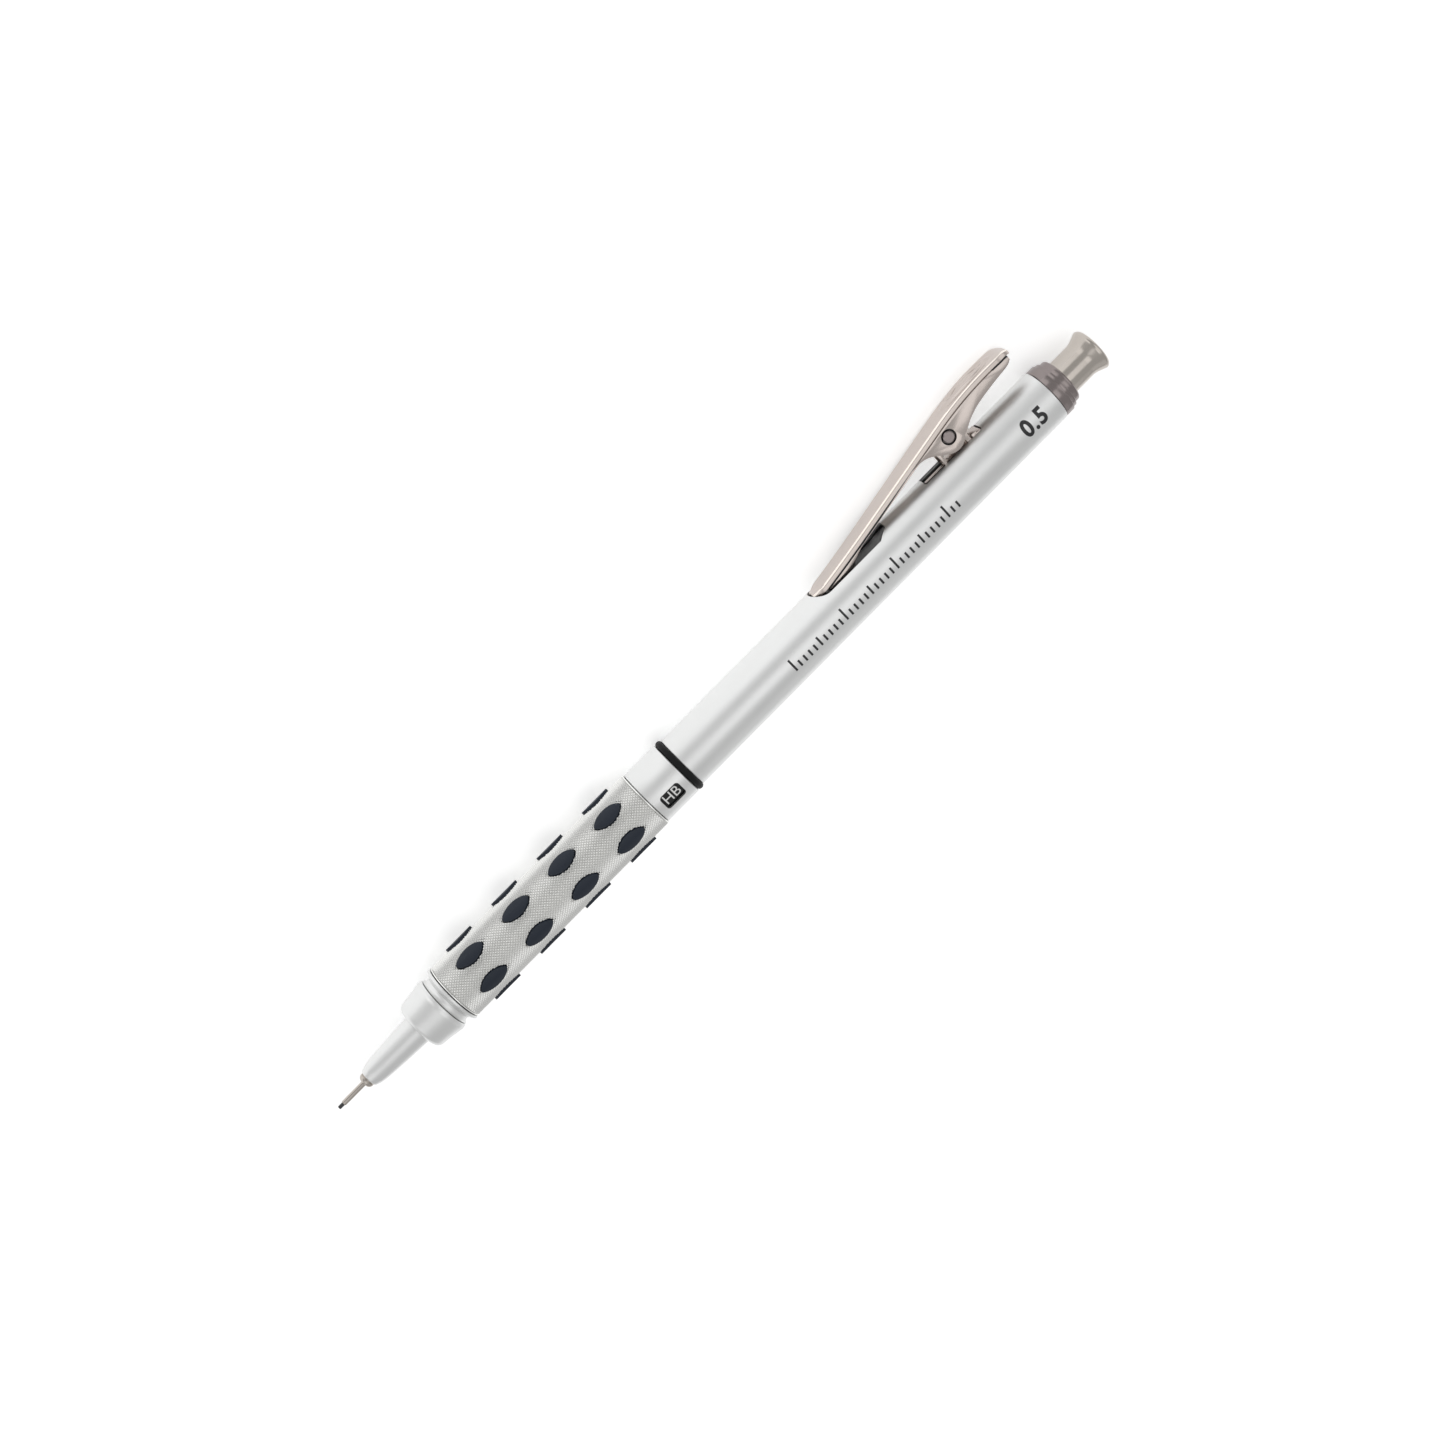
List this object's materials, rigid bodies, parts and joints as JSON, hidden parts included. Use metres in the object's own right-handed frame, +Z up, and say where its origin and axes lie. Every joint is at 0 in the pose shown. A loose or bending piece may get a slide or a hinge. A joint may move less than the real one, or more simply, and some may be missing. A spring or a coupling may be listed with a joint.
{
  "type": "mechanical pencil",
  "caption": "Drafting mechanical pencil with a retracting tip, rocking release clip, padded knurled grip, grade ring and push button.",
  "frame": {"origin": "centre of the bounding box at the level of the desk that the pencil lies on", "axes": "+X from the push button to the tip, +Z up, the clip towards -Y and a little down"},
  "size_m": [0.15, 0.0152, 0.01],
  "materials": {
    "graphite": "dull dark grey polymer lead",
    "chrome": "bright warm plating",
    "dark_chrome": "darker warm plating",
    "nickel": "warm nickel plating, fine brushing",
    "satin_aluminium": "bead-blasted satin, pale silver",
    "knurled_aluminium": "satin with a fine diamond knurl",
    "spring_steel": "drawn steel",
    "brass": "turned brass",
    "black_plastic": "black moulded plastic",
    "black_rubber": "black rubber",
    "pad_rubber": "slate-blue rubber, soft sheen",
    "eraser_rubber": "white eraser"
  },
  "bodies": {
    "barrel_body": {"nose_cap": "satin_aluminium", "grip_core": "satin_aluminium", "pad_sleeve": "pad_rubber", "grip_sleeve": "knurled_aluminium", "grade_dial": "black_plastic", "o_ring": "black_rubber", "barrel_bush": "brass", "barrel": "satin_aluminium", "rear_collar": "dark_chrome", "clip_bracket": "spring_steel", "pivot_pin": "dark_chrome", "retract_spring": "spring_steel", "clip_spring": "spring_steel"},
    "grade": {"grade_ring": "satin_aluminium"},
    "carrier": {"tip_cone": "satin_aluminium", "guide_pipe": "chrome", "pipe_ferrule": "chrome", "lead_retainer": "black_rubber", "chuck_sleeve": "brass", "chuck_spring": "spring_steel", "carrier_tube": "black_plastic"},
    "clutch": {"clutch_ring": "brass"},
    "feed": {"chuck": "brass", "chuck_connector": "black_plastic", "lead_tube": "black_plastic", "eraser_holder": "spring_steel", "eraser": "eraser_rubber"},
    "button": {"push_button": "chrome"},
    "lead_rod": {"lead": "graphite"},
    "clip": {"clip_cover": "nickel", "clip_frame": "nickel"}
  },
  "joints": [
    {"name": "tip_retract", "type": "slide", "parent": "barrel_body", "child": "carrier", "axis": [-1, 0, 0], "range_m": [0, 0.0165], "deforming": ["retract_spring"]},
    {"name": "lead_advance", "type": "slide", "parent": "carrier", "child": "feed", "axis": [1, 0, 0], "range_m": [0, 0.003], "stiffness_N_per_m": 400, "springref_m": -0.003, "deforming": ["chuck_spring"]},
    {"name": "clutch_travel", "type": "slide", "parent": "carrier", "child": "clutch", "axis": [1, 0, 0], "range_m": [0, 0.0012]},
    {"name": "button_pull", "type": "slide", "parent": "feed", "child": "button", "axis": [-1, 0, 0], "range_m": [0, 0.024]},
    {"name": "lead_feed", "type": "slide", "parent": "carrier", "child": "lead_rod", "axis": [1, 0, 0], "range_m": [-0.0009, 0.036]},
    {"name": "clip_pivot", "type": "hinge", "parent": "barrel_body", "child": "clip", "pos_m": [-0.0511, -0.00368, 0.0033], "axis": [0, 0.2526, -0.9676], "range_deg": [0, 12], "stiffness_Nm_per_rad": 0.15, "springref_deg": -5.73, "deforming": ["clip_spring"]},
    {"name": "grade_turn", "type": "hinge", "parent": "barrel_body", "child": "grade", "pos_m": [0.011, 0.00281, 0.00499], "axis": [-1, 0, 0], "continuous": true}
  ],
  "couplings": [
    {"joint": "clutch_travel", "follows": "lead_advance", "ratio": 0.4}
  ]
}
